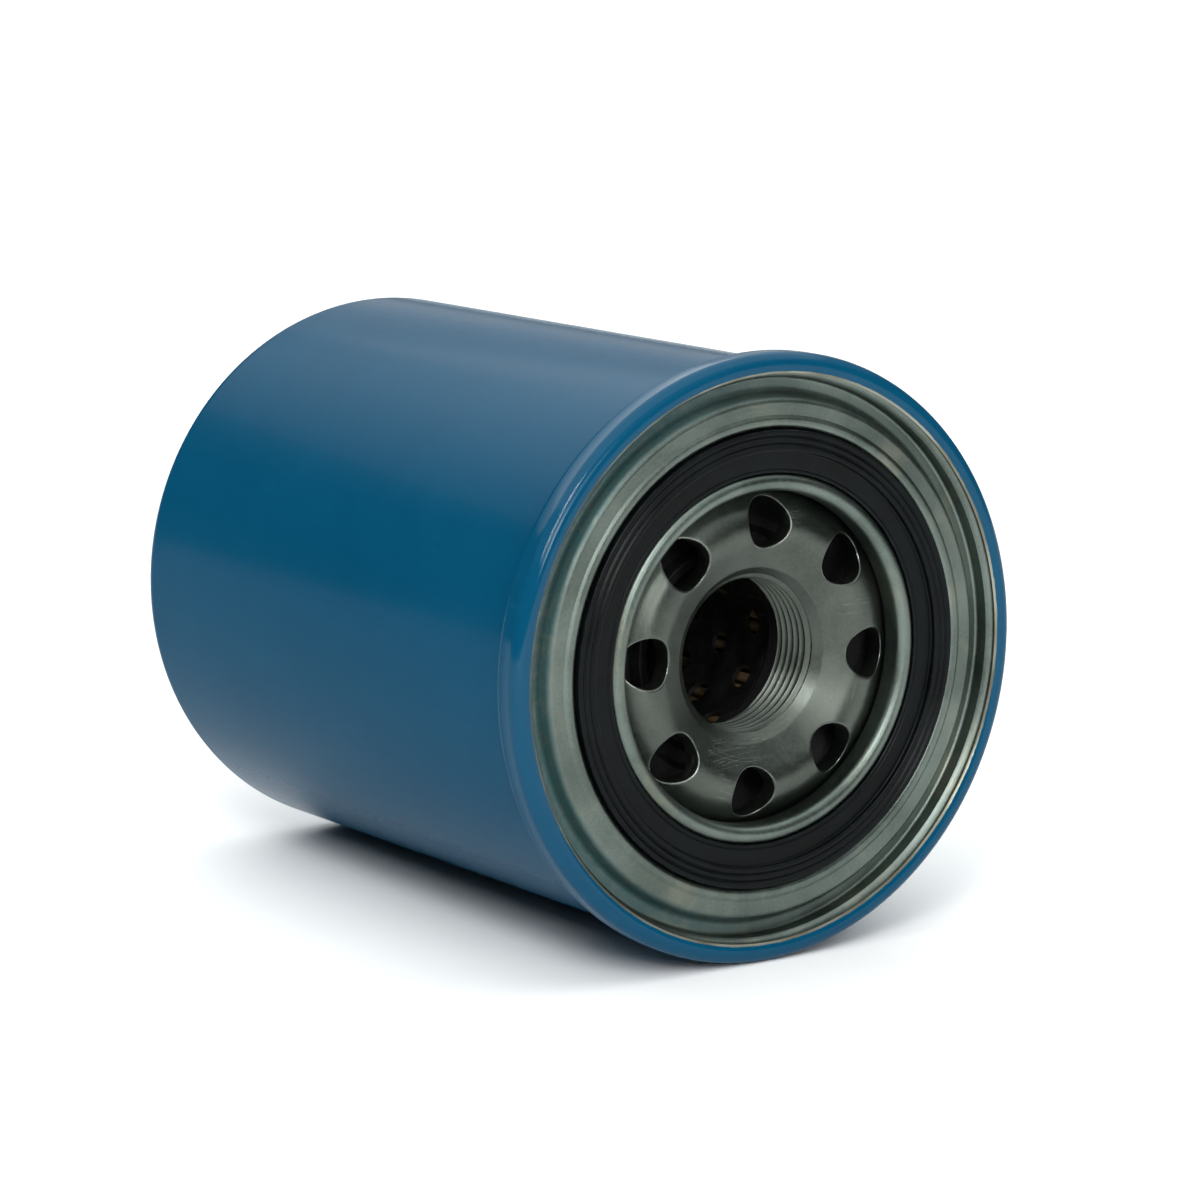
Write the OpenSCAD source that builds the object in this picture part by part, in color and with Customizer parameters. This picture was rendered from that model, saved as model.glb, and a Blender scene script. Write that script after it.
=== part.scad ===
// Spin-on engine oil filter: a painted steel can rolled onto a pressed lid, with a threaded
// tapping plate, a drain-back valve, a pleated paper element and a spring-loaded bypass valve.
//
// Frame: millimetres, +Z up. The filter lies on its side with its mouth towards -Y. The origin
// is on the thread's axis, in the plane where the gasket seals against the engine.
// Each outline below is drawn as [radius, height], height counted out of the mouth, and
// lay_down() turns that height to -Y.

/* [Can] */
// Outside diameter of the can's side
can_d = 93; // [88:0.1:112]
// From the sealing plane back to the can's flat rear face
can_depth = 117.3; // [95:0.1:160]
// Sheet thickness of the can
can_wall = 0.7; // [0.5:0.05:1]
// Outside radius of the can's rear corner
can_corner_r = 3.5; // [2:0.5:6]
// Diameter of the raised middle of the can's rear face, at its foot
dome_d = 72; // [60:1:80]
// How far the middle of the rear face stands out
dome_rise = 2.5; // [1:0.1:4]
// Width of the slope around the raised middle
dome_slope = 4; // [2:0.5:6]
// Bend radius at the foot and the top of that slope
dome_bend_r = 3; // [1:0.5:3]

/* [Rolled seam] */
// How far the seam stands out past the can's side
seam_step = 2; // [1.6:0.1:3]
// Radius of the seam's rounded crest
seam_roll_r = 2; // [1.9:0.05:2.4]
// How far the seam's crest stands past the sealing plane
seam_proud = 0.6; // [0:0.1:1]
// Length of the seam's straight outer side
seam_skirt = 2.8; // [2.4:0.1:5]
// Bend radius where the seam's side runs down into the can's side
seam_bend_r = 1.5; // [0.8:0.1:1.5]
// Where the can's edge ends on the crest, counted up from straight outward
seam_edge_angle = 130; // [125:1:135]

/* [Seaming lid] */
// Sheet thickness of the lid
lid_wall = 0.8; // [0.6:0.05:0.9]
// From the sealing plane down to the floor of the channel beside the seam
channel_depth = 3.6; // [2.5:0.1:4]
// Width of the channel beside the seam, wall to wall
channel_w = 2.7; // [2.2:0.1:3.2]
// From the sealing plane down to the ridge around the gasket
ridge_drop = 0.6; // [0.4:0.1:1.5]
// Width of the ridge's own crown before it steps down
ridge_crown_w = 1.5; // [1.2:0.1:2]
// Depth of the step behind the ridge's crown
ridge_step = 0.3; // [0.1:0.05:0.5]
// From the sealing plane down to the floor of the gasket groove
groove_depth = 5; // [4:0.1:6]
// Width of the rolled bead inside the gasket
bead_w = 2.9; // [2.6:0.1:3.4]
// From the sealing plane down to the bead's crest
bead_drop = 0.75; // [0.5:0.05:1.5]
// Length of the bead's inner leg
bead_leg = 4.1; // [2:0.1:4.1]
// Bend radius in the corners of the gasket groove
groove_bend_r = 0.6; // [0.5:0.05:0.7]
// Bend radius at the ridge's crown
ridge_bend_r = 0.5; // [0.45:0.05:0.6]
// Bend radius in the corners of the channel
channel_bend_r = 0.8; // [0.5:0.1:1]

/* [Gasket] */
// Outside diameter of the gasket
gasket_od = 72.8; // [70:0.1:74]
// Radial width of the gasket
gasket_w = 6.9; // [6:0.1:8.5]
// Width of the gasket's raised sealing band
gasket_band_w = 3.4; // [2.5:0.1:4.5]
// How far the gasket's inner shelf lies below its sealing band
gasket_shelf_drop = 1; // [0.5:0.1:2]
// Depth of the two fine grooves in the sealing band
gasket_groove = 0.35; // [0.2:0.05:0.5]
// Bevel at the gasket's foot
gasket_foot_bevel = 0.5; // [0.2:0.1:1]
// Bevel at the edges of the band and the shelf
gasket_edge_bevel = 0.3; // [0.1:0.05:0.35]

/* [Tapping plate] */
// Plate thickness
plate_t = 3; // [2:0.1:3.6]
// Major diameter of the mounting thread
thread_d = 26; // [22:0.1:31.2]
// Pitch of the mounting thread
thread_pitch = 1.5; // [1:0.25:2]
// How far the mouth's chamfer opens the thread, on the radius
mouth_chamfer = 1.9; // [1.2:0.1:2.2]
// From the mouth's edge to the inner end of the threaded neck
neck_length = 10.5; // [8:0.1:13]
// From the sealing plane down to the crown of the plate's bulge
crown_drop = 2; // [1:0.1:3]
// Radius that rounds the crown
crown_r = 5; // [4:0.1:5]
// Slope of the plate from the crown in to the thread
inner_slope = 28; // [15:1:30]
// Slope of the plate from the crown out to the flange
outer_slope = 40; // [30:1:42]
// Bend radius where that slope meets the flange
flange_bend_r = 2.5; // [1:0.5:2.5]
// Bend radius between the plate's underside and its neck
neck_bend_r = 1; // [0.5:0.1:1.5]
// Diameter of an oil inlet hole
inlet_d = 8; // [6:0.1:8.4]
// Number of oil inlet holes
inlet_count = 8; // [6:1:8]
// Wall left between an inlet hole's edge and the bead, on the radius
inlet_edge_gap = 1.1; // [0.6:0.1:1.6]
// Turn of the first inlet hole from +X
inlet_turn = -3.7; // [-22.5:0.1:22.5]
// How far the plate's flange reaches out past the gasket groove
plate_overlap = 3.1; // [1:0.1:3.4]

/* [Drain-back valve] */
// Thickness of the rubber sleeve around the neck
sleeve_t = 1.7; // [1.2:0.1:2.5]
// How far the sleeve reaches past the neck's inner end
sleeve_past_neck = 5.3; // [4:0.1:6]
// How far the sleeve still reaches into the element's hub once the element has moved back
sleeve_hold = 2; // [1:0.1:4]
// Thickness of the rubber flange that the element presses on
collar_t = 2.35; // [1.6:0.05:3]
// How far the rubber flange reaches out past the sleeve
collar_w = 5.1; // [3:0.1:6]
// Thickness of the flap
flap_t = 1.1; // [0.8:0.1:1.2]
// How far the flap lifts off the plate when oil flows in
flap_travel = 2; // [1:0.1:2.4]
// Width of the flap's lip that lies on the plate
flap_lip_w = 2.6; // [1.5:0.1:4]
// Bend radius between the flap's cone and its lip
flap_bend_r = 1.5; // [0.8:0.1:2]

/* [Filter element] */
// Gap between the element and the inside of the can
element_gap = 5.3; // [4:0.1:8]
// Room for the support spring, from the element to the inside of the can's end
spring_room = 16.1; // [14:0.1:20]
// How far the element can move back against its spring
element_travel = 2; // [1:0.1:3]
// Sheet thickness of the two end caps
cap_t = 0.5; // [0.4:0.05:0.8]
// Length of an end cap's rim
cap_rim = 6; // [4:0.5:10]
// Thickness of the potting in each end cap
potting_t = 3; // [2:0.1:5]
// Wall thickness of the centre tube
tube_t = 0.8; // [0.6:0.05:1.2]
// Diameter of a hole in the centre tube
tube_hole_d = 4; // [3:0.1:5]
// Holes in one row around the centre tube
tube_hole_count = 12; // [8:1:14]
// Rows of holes along the centre tube
tube_rows = 9; // [6:1:10]
// Number of pleats in the paper
pleat_count = 56; // [40:1:60]
// Thickness of the paper with its binder
paper_t = 0.65; // [0.5:0.05:0.7]
// Width of a pleat at its outer fold
pleat_w = 1.9; // [1.8:0.1:2.1]
// Gap from the centre tube to the pleats' inner folds
inner_fold_gap = 0.3; // [0.1:0.05:0.5]
// Gap from the end caps' rims to the pleats' outer folds
outer_fold_gap = 0.5; // [0.45:0.05:0.8]
// Thickness of the metal clip over the pleat seam
clip_t = 0.35; // [0.25:0.05:0.4]
// How deep the clip reaches over the seam pleat
clip_depth = 5; // [3:0.5:8]

/* [Bypass valve] */
// Diameter of the opening that the valve closes
bypass_bore = 14; // [10:0.1:17]
// Height of the raised lip around that opening
seat_lip = 0.8; // [0.5:0.1:1.2]
// Width of that lip's flat top
seat_lip_w = 1; // [0.6:0.1:1.5]
// Thickness of the seat plate
seat_t = 1.2; // [0.8:0.1:2]
// How far the valve disc reaches past the opening's edge
disc_overlap = 3.5; // [2.5:0.1:4]
// Thickness of the valve disc
disc_t = 1; // [0.8:0.1:1.5]
// Thickness of the rubber washer under the disc
seal_t = 1.6; // [1:0.1:2]
// Diameter of the valve's guide stem
stem_d = 3.2; // [2.5:0.1:4]
// Bevel on the guide stem's tip
stem_tip = 0.5; // [0.2:0.1:1]
// How far the valve opens
bypass_travel = 4; // [2:0.1:5]
// Inside length of the cage, from the seat plate
cage_length = 19.3; // [17:0.1:24]
// Wall thickness of the cage
cage_t = 0.8; // [0.6:0.1:1]
// Width of each oil window in the cage's side
window_w = 11; // [8:0.5:13]
// Wire diameter of the bypass spring
bypass_wire = 1.2; // [0.8:0.1:1.4]
// Mean diameter of the bypass spring
bypass_coil_d = 11; // [9:0.5:13]
// Turns of the bypass spring
bypass_turns = 6.5; // [5:0.5:7]

/* [Support spring] */
// Wire diameter of the support spring
support_wire = 2.4; // [1.8:0.1:2.6]
// Mean diameter of the support spring
support_coil_d = 34; // [32:1:38]
// Turns of the support spring
support_turns = 4; // [3.5:0.5:4.5]
// Sheet thickness of the spring's seat on the element
spring_seat_t = 0.7; // [0.5:0.1:1]
// Length of the spring seat's hub inside the spring
spring_hub = 3.6; // [2:0.1:5]
// How far the spring's seat reaches past the spring
spring_seat_rim = 3; // [1:0.5:5]

/* [Hidden] */
$fn = 96;

// Gap between pieces that are pressed or stretched onto each other
press_gap = 0.02;
// Radial clearance of a running fit, and the gap between faces of pieces that move apart
slide_gap = 0.05;
// Gap where two bodies pass close to each other
pass_gap = 0.2;
// Steps in each rounded corner of an outline
corner_steps = 4;
// Steps in the seam's crest, and in the lid's roll-in ahead of it
crest_steps = 10;
tuck_steps = 5;
// Kept off a fold's radius where two folds would otherwise meet in one point
fold_slack = 0.01;
// Segments in one turn of a spring, and sides of its wire
coil_steps = 18;
wire_sides = 6;

// The can and the seam
can_r = can_d / 2;
can_mid_r = can_r - can_wall / 2;
can_inner_r = can_r - can_wall;
seam_r = can_r + seam_step;
crest = [seam_r - seam_roll_r, seam_proud - seam_roll_r];
skirt_end = crest[1] - seam_skirt;
rear_mid = can_wall / 2 - can_depth;
dome_mid = rear_mid - dome_rise;
dome_inner = dome_mid + can_wall / 2;

// The lid, from the bead out to the seam
groove_outer_r = gasket_od / 2 + press_gap;
groove_inner_r = groove_outer_r - gasket_w - 2 * press_gap;
bead_inner_r = groove_inner_r - bead_w;
bead_crest = -bead_drop - lid_wall / 2;
bead_mid_r = (bead_w - lid_wall) / 2;
groove_mid = -groove_depth - lid_wall / 2;
ridge_mid = -ridge_drop - lid_wall / 2;
ridge_outer_r = groove_outer_r + ridge_crown_w;
channel_mid = -channel_depth - lid_wall / 2;
channel_outer_r = seam_r - 2 * seam_roll_r;
channel_inner_r = channel_outer_r - channel_w;
hook_r = seam_roll_r - can_wall - slide_gap - lid_wall / 2;
hook_length = seam_skirt - 2 * can_wall;
tuck_angle = seam_edge_angle + 10;

// The tapping plate
thread_minor_r = thread_d / 2 - 0.54127 * thread_pitch;
neck_r = thread_minor_r + plate_t;
mouth_r = thread_minor_r + mouth_chamfer;
plate_top = -groove_depth - lid_wall;
inlet_r = bead_inner_r - inlet_edge_gap - inlet_d / 2;
crown_land = crown_r * (tan(inner_slope / 2) + tan(outer_slope / 2));
crown_in = inlet_r - crown_land * 2 / 3;
crown_out = crown_in + crown_land;
mouth_z = -crown_drop - (crown_in - mouth_r) * tan(inner_slope);
neck_end = mouth_z - neck_length;
flange_in = crown_out + (-crown_drop - plate_top) / tan(outer_slope);
plate_outer_r = groove_outer_r + lid_wall / 2 + plate_overlap;

// The drain-back valve
sleeve_in_r = neck_r + press_gap;
sleeve_r = sleeve_in_r + sleeve_t;
sleeve_end = neck_end - sleeve_past_neck;
collar_end = sleeve_end + sleeve_hold + element_travel - slide_gap;
collar_r = sleeve_r + collar_w;
flap_root = [collar_r + pass_gap + flap_t / 2, collar_end + flap_travel + pass_gap + flap_t];
flap_lip_in = flange_in + plate_t * tan(outer_slope / 2) + pass_gap;
flap_lip_z = plate_top - plate_t - slide_gap - flap_t / 2;

// The element
element_top = collar_end - slide_gap;
element_end = dome_inner + spring_room;
element_r = can_inner_r - element_gap;
hub_r = sleeve_r + slide_gap;
tube_in_r = hub_r + cap_t + press_gap;
tube_r = tube_in_r + tube_t;
tube_top = element_top - cap_t - press_gap;
tube_end = element_end + cap_t + press_gap;
rim_in_r = element_r - cap_t;
cap_fold_r = cap_t / 2 + press_gap;
mouth_hub = sleeve_hold + element_travel + cap_t;
potting_in_r = tube_r + press_gap;
potting_out_r = rim_in_r - press_gap;
media_top = tube_top - potting_t - press_gap;
media_end = tube_end + potting_t + press_gap;
pleat_in_r = tube_r + inner_fold_gap;
pleat_out_r = rim_in_r - outer_fold_gap;
// Half the gap between neighbouring pleats at their inner folds
valley_gap = 0.15;

// The bypass valve, counted from the element's dome end
seat_z = tube_end;
seat_top = seat_z + seat_t;
lip_top = seat_top + seat_lip;
seal_z = lip_top + slide_gap;
disc_z = seal_z + seal_t + press_gap;
disc_r = bypass_bore / 2 + disc_overlap;
seat_r = tube_in_r - press_gap;
cage_in_r = disc_r + 4 * pass_gap;
dome_hole_r = (bypass_bore / 2 + seat_r) / 2;
cage_end = seat_top + cage_length;
stem_r = stem_d / 2;
stem_head_r = (stem_r + bypass_bore / 2) / 2;
stem_head_t = seat_lip;
stem_end = cage_end + cage_t + bypass_travel / 2;
rivet_r = bypass_coil_d / 2 - bypass_wire / 2 - 2 * pass_gap;
rivet_t = disc_t;

// The support spring and its seat
hub_out_r = support_coil_d / 2 - support_wire / 2 - 2 * pass_gap;
seat_plate_r = support_coil_d / 2 + support_wire / 2 + spring_seat_rim;
seat_plate_z = element_end - press_gap;

// Straight lines and arcs for outlines
function unit(v) = v / norm(v);
function arc(c, r, a0, a1, steps) =
    [for (i = [0:steps]) let (a = a0 + (a1 - a0) * i / steps) c + r * [cos(a), sin(a)]];
function reversed(list) = [for (i = [len(list) - 1:-1:0]) list[i]];
// Two lines in one, where the second starts on the first's last point
function joined(a, b) = concat(a, [for (i = [1:len(b) - 1]) b[i]]);

// The corner at q between p and s, rounded to radius r
function corner(p, q, s, r) =
    let (u = unit(p - q), v = unit(s - q), half = acos(u * v) / 2,
         c = q + unit(u + v) * r / sin(half),
         a = q + u * r / tan(half) - c, b = q + v * r / tan(half) - c,
         a0 = atan2(a[1], a[0]),
         sweep = (atan2(b[1], b[0]) - a0 + 540) % 360 - 180)
    arc(c, r, a0, a0 + sweep, corner_steps);

// A line through points given as [radius, height, corner radius], corners rounded where asked
function bend(p) =
    [for (i = [0:len(p) - 1])
        let (q = [p[i][0], p[i][1]], r = p[i][2])
        each (r > 0 ? corner([p[i - 1][0], p[i - 1][1]], q, [p[i + 1][0], p[i + 1][1]], r) : [q])];

// One side of a sheet whose middle follows the path, and the sheet's whole outline
function side(path, d) =
    [for (i = [0:len(path) - 1])
        let (u = unit(i > 0 ? path[i] - path[i - 1] : path[1] - path[0]),
             v = i < len(path) - 1 ? unit(path[i + 1] - path[i]) : u)
        path[i] + [-u[1] - v[1], u[0] + v[0]] * d / (1 + u * v)];
function sheet(path, t) = concat(side(path, t / 2), reversed(side(path, -t / 2)));

module lay_down() {
    rotate([90, 0, 0]) children();
}

module turned(outline) {
    lay_down() rotate_extrude() polygon(outline);
}

module ring(r_in, r_out, z0, z1) {
    turned([[r_in, z0], [r_out, z0], [r_out, z1], [r_in, z1]]);
}

// Round wire wound into a coil from z0 to z1, its first and last turns lying nearly flat
module coil(mean_r, wire_d, turns, z0, z1) {
    steps = round(turns * coil_steps);
    flat = wire_d + slide_gap;
    climb = (z1 - z0 - wire_d - 2 * flat) / (turns - 2);
    function height(t) = z0 + wire_d / 2
        + (t < 1 ? t * flat : t < turns - 1 ? flat + (t - 1) * climb
                            : z1 - z0 - wire_d - (turns - t) * flat);
    points = [for (i = [0:steps], j = [0:wire_sides - 1])
        let (a = 360 * i / coil_steps, b = 360 * j / wire_sides, r = mean_r + wire_d / 2 * cos(b))
        [r * cos(a), r * sin(a), height(i / coil_steps) + wire_d / 2 * sin(b)]];
    skin = [for (i = [0:steps - 1], j = [0:wire_sides - 1])
        let (a = i * wire_sides, k = (j + 1) % wire_sides)
        each [[a + j, a + wire_sides + j, a + k],
              [a + k, a + wire_sides + j, a + wire_sides + k]]];
    start = [for (j = [1:wire_sides - 2]) [0, j, j + 1]];
    last = steps * wire_sides;
    finish = [for (j = [1:wire_sides - 2]) [last, last + j + 1, last + j]];
    lay_down() polyhedron(points, concat(skin, start, finish));
}

// Deep-drawn steel shell; its mouth is flared and rolled over the lid's edge
module can() {
    color("#0f5f8f") turned(sheet(joined(
        arc(crest, seam_roll_r - can_wall / 2, seam_edge_angle, 0, crest_steps),
        bend([[seam_r - can_wall / 2, crest[1], 0],
              [seam_r - can_wall / 2, skirt_end, seam_bend_r],
              [can_mid_r, skirt_end - seam_step, seam_bend_r],
              [can_mid_r, rear_mid, can_corner_r - can_wall / 2],
              [dome_d / 2, rear_mid, dome_bend_r],
              [dome_d / 2 - dome_slope, dome_mid, dome_bend_r],
              [0, dome_mid, 0]])), can_wall));
}

// Pressed cover that holds the gasket; its outer edge is hooked inside the rolled seam
module seaming_lid() {
    roll_r = seam_roll_r - lid_wall / 2;
    join = crest[0] - roll_r;
    folds = bend([[bead_inner_r + lid_wall / 2, bead_crest - bead_leg + lid_wall / 2, 0],
                  [bead_inner_r + lid_wall / 2, bead_crest, bead_mid_r - fold_slack],
                  [groove_inner_r - lid_wall / 2, bead_crest, bead_mid_r - fold_slack],
                  [groove_inner_r - lid_wall / 2, groove_mid, groove_bend_r],
                  [groove_outer_r + lid_wall / 2, groove_mid, groove_bend_r],
                  [groove_outer_r + lid_wall / 2, ridge_mid, groove_bend_r],
                  [ridge_outer_r, ridge_mid, ridge_bend_r],
                  [ridge_outer_r + 2 * ridge_step, ridge_mid - ridge_step, ridge_bend_r],
                  [channel_inner_r - lid_wall, ridge_mid - ridge_step, channel_bend_r],
                  [channel_inner_r, channel_mid, channel_bend_r],
                  [join, channel_mid, channel_bend_r],
                  [join, crest[1], 0]]);
    roll_in = [for (i = [1:tuck_steps])
        let (a = 180 - (180 - tuck_angle) * i / tuck_steps,
             r = roll_r - (roll_r - hook_r) * i / tuck_steps)
        crest + r * [cos(a), sin(a)]];
    hook = concat(arc(crest, hook_r, tuck_angle, 0, crest_steps),
                  [crest + [hook_r, -hook_length]]);
    color("#7f8a80") turned(sheet(joined(concat(folds, roll_in), hook), lid_wall));
}

// Thick pressed plate, its middle drawn inward into the neck that carries the thread.
// The thread is left as a plain bore at its minor diameter.
module tapping_plate() {
    top = bend([[thread_minor_r, neck_end, 0],
                [thread_minor_r, mouth_z - mouth_chamfer, 0],
                [mouth_r, mouth_z, 0],
                [crown_in, -crown_drop, crown_r - fold_slack],
                [crown_out, -crown_drop, crown_r - fold_slack],
                [flange_in, plate_top, flange_bend_r],
                [plate_outer_r, plate_top, 0]]);
    under_in = crown_in + plate_t * tan(inner_slope / 2);
    under_out = crown_out - plate_t * tan(outer_slope / 2);
    under_flange = flange_in - plate_t * tan(outer_slope / 2);
    under_neck = -crown_drop - plate_t - (under_in - neck_r) * tan(inner_slope);
    bottom = bend([[neck_r, neck_end, 0],
                   [neck_r, under_neck, neck_bend_r],
                   [under_in, -crown_drop - plate_t, crown_r - plate_t - fold_slack],
                   [under_out, -crown_drop - plate_t, crown_r - plate_t - fold_slack],
                   [under_flange, plate_top - plate_t, flange_bend_r + plate_t],
                   [plate_outer_r, plate_top - plate_t, 0]]);
    color("#565b56") difference() {
        turned(concat(top, reversed(bottom)));
        lay_down() for (i = [0:inlet_count - 1])
            rotate([0, 0, inlet_turn + i * 360 / inlet_count])
                translate([inlet_r, 0, 2 * plate_top - plate_t])
                    cylinder(d = inlet_d, h = -2 * plate_top + plate_t);
    }
}

// Moulded rubber ring with a raised band, two fine grooves in it and a low inner shelf
module mounting_gasket() {
    outer = gasket_od / 2;
    inner = outer - gasket_w;
    shelf = outer - gasket_band_w;
    foot = -groove_depth;
    bevel = gasket_foot_bevel;
    edge = gasket_edge_bevel;
    color("#24262a") turned([
        [inner, foot + bevel], [inner + bevel, foot], [outer - bevel, foot], [outer, foot + bevel],
        [outer, -edge], [outer - edge, 0],
        for (i = [1:2], step = [-1:1])
            [outer - i * gasket_band_w / 3 - step * gasket_groove, (abs(step) - 1) * gasket_groove],
        [shelf + edge, 0], [shelf, -gasket_shelf_drop],
        [inner + edge, -gasket_shelf_drop], [inner, -gasket_shelf_drop - edge]]);
}

// Cured compound in the pocket between the lid's wall and its hook
module seam_sealant() {
    color("#8c7f5a") ring(crest[0] - seam_roll_r + lid_wall + slide_gap,
                          crest[0] + hook_r - lid_wall / 2 - slide_gap,
                          crest[1] - hook_length, crest[1] - lid_wall / 2);
}

// Rubber sleeve stretched over the neck, with the flange that seals the element to the plate
module drainback_valve_collar() {
    edge = flap_root[1] + flap_t / 2;
    edge_in_r = collar_r - 1.5 * flap_t;
    tip = collar_end + 2 * collar_t;
    color("#1c1d1f") turned([
        [sleeve_in_r, sleeve_end], [sleeve_r, sleeve_end],
        [sleeve_r, collar_end], [collar_r, collar_end],
        [collar_r, edge], [edge_in_r, edge],
        [edge_in_r - flap_t, collar_end + collar_t], [sleeve_r, collar_end + collar_t],
        [sleeve_r - sleeve_t / 4, tip], [sleeve_in_r, tip]]);
}

// Conical rubber flap whose lip lies on the plate and covers the inlet holes from inside
module drainback_valve_flap() {
    color("#26282b") turned(sheet(bend([
        [flap_root[0], flap_root[1], 0],
        [flap_lip_in, flap_lip_z, flap_bend_r],
        [flap_lip_in + flap_lip_w, flap_lip_z, 0]]), flap_t));
}

// A pressed end cap: its rim and its hub both turn in towards the paper
module end_cap(hub_mid_r, hub_length, face, inward) {
    mid = face + inward * cap_t / 2;
    color("#9aa39c") turned(sheet(bend([
        [element_r - cap_t / 2, face + inward * cap_rim, 0],
        [element_r - cap_t / 2, mid, cap_fold_r],
        [hub_mid_r, mid, hub_length > 0 ? cap_fold_r : 0],
        if (hub_length > 0) [hub_mid_r, face + inward * hub_length, 0]]), cap_t));
}

module mouth_end_cap() {
    end_cap(hub_r + cap_t / 2, mouth_hub, element_top, -1);
}

module dome_end_cap() {
    end_cap(dome_hole_r, 0, element_end, 1);
}

// Perforated steel tube that carries the paper from inside; rows of holes are staggered
module centre_tube() {
    first = tube_top - 2 * tube_hole_d - potting_t;
    pitch = (first - tube_end - 2 * tube_hole_d) / (tube_rows - 1);
    color("#6f756f") difference() {
        ring(tube_in_r, tube_r, tube_end, tube_top);
        lay_down() for (row = [0:tube_rows - 1], i = [0:tube_hole_count - 1])
            translate([0, 0, first - row * pitch])
                rotate([0, 90, (i + (row % 2) / 2) * 360 / tube_hole_count])
                    translate([0, 0, tube_in_r - tube_t]) cylinder(d = tube_hole_d, h = 3 * tube_t);
    }
}

// Pleated paper band: each pleat is two layers joined at its outer fold
module filter_media() {
    step = 360 / pleat_count;
    function at(r, across, k) = let (a = k * step + asin(across / r)) r * [cos(a), sin(a)];
    root = PI * pleat_in_r / pleat_count - valley_gap;
    outer = [for (k = [0:pleat_count - 1]) each [
        at(pleat_in_r + paper_t, -root, k), at(pleat_out_r, -pleat_w / 2, k),
        at(pleat_out_r, pleat_w / 2, k), at(pleat_in_r + paper_t, root, k)]];
    inner = [for (k = [0:pleat_count - 1]) each [
        at(pleat_in_r, paper_t - root, k), at(pleat_out_r - paper_t, paper_t - pleat_w / 2, k),
        at(pleat_out_r - paper_t, pleat_w / 2 - paper_t, k), at(pleat_in_r, root - paper_t, k)]];
    color("#d9c08a") lay_down() translate([0, 0, media_end])
        linear_extrude(media_top - media_end) difference() {
            polygon(outer);
            polygon(inner);
        }
}

// Folded metal strip that holds the paper's two ends together over one pleat
module media_clip() {
    gap = pleat_w / 2 + press_gap;
    wall = gap + clip_t;
    back = pleat_out_r + press_gap;
    color("#b8bcb8") lay_down() translate([0, 0, media_end])
        linear_extrude(media_top - media_end) polygon([
            [back - clip_depth, -wall], [back + clip_t, -wall], [back + clip_t, wall],
            [back - clip_depth, wall], [back - clip_depth, gap + clip_t / 2],
            [back, gap], [back, -gap], [back - clip_depth, -gap - clip_t / 2]]);
}

// Cured adhesive that bonds the paper's ends into the two end caps
module mouth_potting() {
    color("#3b3f45") ring(potting_in_r, potting_out_r, tube_top - potting_t, tube_top);
}

module dome_potting() {
    color("#3b3f45") ring(potting_in_r, potting_out_r, tube_end, tube_end + potting_t);
}

// Thick washer with the raised lip that the bypass valve closes on
module bypass_valve_seat() {
    bore = bypass_bore / 2;
    color("#8f9690") turned([
        [bore, seat_z], [seat_r, seat_z], [seat_r, seat_top],
        [bore + seat_lip_w + seat_lip / 2, seat_top], [bore + seat_lip_w, lip_top],
        [bore, lip_top]]);
}

// Deep cup over the valve disc; it guides the stem and carries the spring
module bypass_valve_cage() {
    foot = seat_top + press_gap;
    color("#a3aaa4") difference() {
        turned([[cage_in_r, foot], [seat_r, foot], [seat_r, foot + cage_t],
                [cage_in_r + cage_t, foot + cage_t], [cage_in_r + cage_t, cage_end + cage_t],
                [stem_r + slide_gap, cage_end + cage_t], [stem_r + slide_gap, cage_end],
                [cage_in_r, cage_end]]);
        lay_down() for (turn = [0, 90])
            rotate([0, 0, turn])
                translate([-2 * seat_r, -window_w / 2, foot + 2 * cage_t])
                    cube([4 * seat_r, window_w, cage_length - 5 * cage_t]);
    }
}

module bypass_valve_disc() {
    color("#7c837d") ring(stem_r + press_gap, disc_r, disc_z, disc_z + disc_t);
}

module bypass_valve_seal() {
    color("#1f2124") ring(stem_r + press_gap, disc_r, seal_z, seal_z + seal_t);
}

// Headed stem riveted through the seal and the disc; its free end slides in the cage
module bypass_valve_stem() {
    head = seal_z - press_gap;
    disc_back = disc_z + disc_t + press_gap;
    color("#c2c6c2") turned([
        [0, head - stem_head_t], [stem_head_r, head - stem_head_t], [stem_head_r, head],
        [stem_r, head], [stem_r, disc_back], [rivet_r, disc_back],
        [rivet_r, disc_back + rivet_t], [stem_r, disc_back + rivet_t],
        [stem_r, stem_end - stem_tip], [stem_r - stem_tip, stem_end], [0, stem_end]]);
}

module bypass_valve_spring() {
    color("#b9bdb9") coil(bypass_coil_d / 2, bypass_wire, bypass_turns,
                          disc_z + disc_t + slide_gap, cage_end - slide_gap);
}

// Pressed ring on the element's end; its hub centres the support spring
module spring_seat() {
    mid = seat_plate_z - spring_seat_t / 2;
    color("#8a918b") turned(sheet(bend([
        [seat_plate_r, mid, 0],
        [hub_out_r - spring_seat_t / 2, mid, spring_seat_t],
        [hub_out_r - spring_seat_t / 2, mid - spring_hub, 0]]), spring_seat_t));
}

module support_spring() {
    color("#4d524e") coil(support_coil_d / 2, support_wire, support_turns,
                          dome_inner + slide_gap, seat_plate_z - spring_seat_t - slide_gap);
}

can();
seaming_lid();
tapping_plate();
mounting_gasket();
seam_sealant();
drainback_valve_collar();
drainback_valve_flap();
mouth_end_cap();
dome_end_cap();
centre_tube();
filter_media();
media_clip();
mouth_potting();
dome_potting();
bypass_valve_seat();
bypass_valve_cage();
bypass_valve_disc();
bypass_valve_seal();
bypass_valve_stem();
bypass_valve_spring();
spring_seat();
support_spring();
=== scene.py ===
import math

import bmesh
import bpy
from mathutils import Matrix, Vector


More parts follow.
